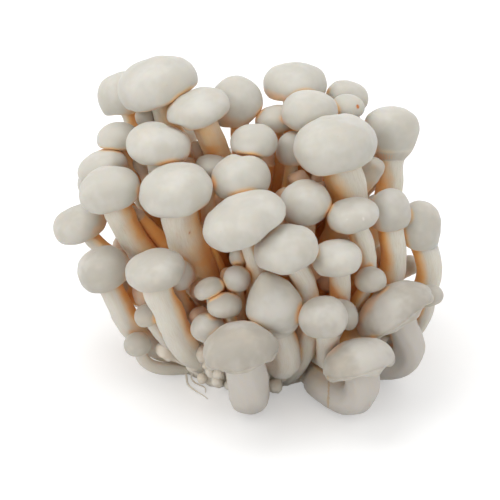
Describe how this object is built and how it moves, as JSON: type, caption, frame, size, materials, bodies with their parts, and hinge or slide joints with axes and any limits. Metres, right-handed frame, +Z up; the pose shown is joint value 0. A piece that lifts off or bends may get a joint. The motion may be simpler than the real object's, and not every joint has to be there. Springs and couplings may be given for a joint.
{
  "type": "white shimeji mushroom bunch",
  "caption": "Crowded bunch of white shimeji mushrooms with smooth rounded caps on pale stems, grown from one clump that is cut flat underneath so that the bunch stands.",
  "frame": {"origin": "middle of the bounding box, on the surface that the bunch stands on", "axes": "+Z up, -Y towards the front of the bunch, +X to the right seen from the front, along the longest side of the box"},
  "size_m": [0.1204, 0.1142, 0.0943],
  "materials": {
    "mushroom_flesh": "smooth satin skin, ivory white, warmer towards the foot",
    "base_flesh": "dull, spongy, pale tan with a fine fuzz"
  },
  "bodies": {
    "root": {"base_clump": "base_flesh", "crown_01": "mushroom_flesh", "crown_02": "mushroom_flesh", "crown_03": "mushroom_flesh", "crown_04": "mushroom_flesh", "crown_05": "mushroom_flesh", "crown_06": "mushroom_flesh", "crown_07": "mushroom_flesh", "crown_08": "mushroom_flesh", "crown_09": "mushroom_flesh", "crown_10": "mushroom_flesh", "crown_11": "mushroom_flesh", "crown_12": "mushroom_flesh", "crown_13": "mushroom_flesh", "crown_14": "mushroom_flesh", "crown_15": "mushroom_flesh", "crown_16": "mushroom_flesh", "middle_01": "mushroom_flesh", "middle_02": "mushroom_flesh", "middle_03": "mushroom_flesh", "middle_04": "mushroom_flesh", "middle_05": "mushroom_flesh", "middle_06": "mushroom_flesh", "middle_07": "mushroom_flesh", "middle_08": "mushroom_flesh", "middle_09": "mushroom_flesh", "middle_10": "mushroom_flesh", "left_01": "mushroom_flesh", "left_02": "mushroom_flesh", "left_03": "mushroom_flesh", "left_04": "mushroom_flesh", "right_01": "mushroom_flesh", "right_02": "mushroom_flesh", "right_03": "mushroom_flesh", "front_01": "mushroom_flesh", "front_02": "mushroom_flesh", "front_03": "mushroom_flesh", "front_04": "mushroom_flesh", "front_05": "mushroom_flesh", "button_01": "mushroom_flesh", "button_02": "mushroom_flesh", "button_03": "mushroom_flesh", "button_04": "mushroom_flesh", "button_05": "mushroom_flesh", "button_06": "mushroom_flesh", "button_07": "mushroom_flesh", "button_08": "mushroom_flesh", "back_01": "mushroom_flesh", "back_02": "mushroom_flesh", "back_03": "mushroom_flesh", "back_04": "mushroom_flesh", "back_05": "mushroom_flesh", "back_06": "mushroom_flesh", "back_07": "mushroom_flesh", "back_08": "mushroom_flesh", "back_09": "mushroom_flesh", "back_10": "mushroom_flesh", "back_11": "mushroom_flesh", "back_12": "mushroom_flesh", "back_13": "mushroom_flesh"}
  },
  "joints": []
}
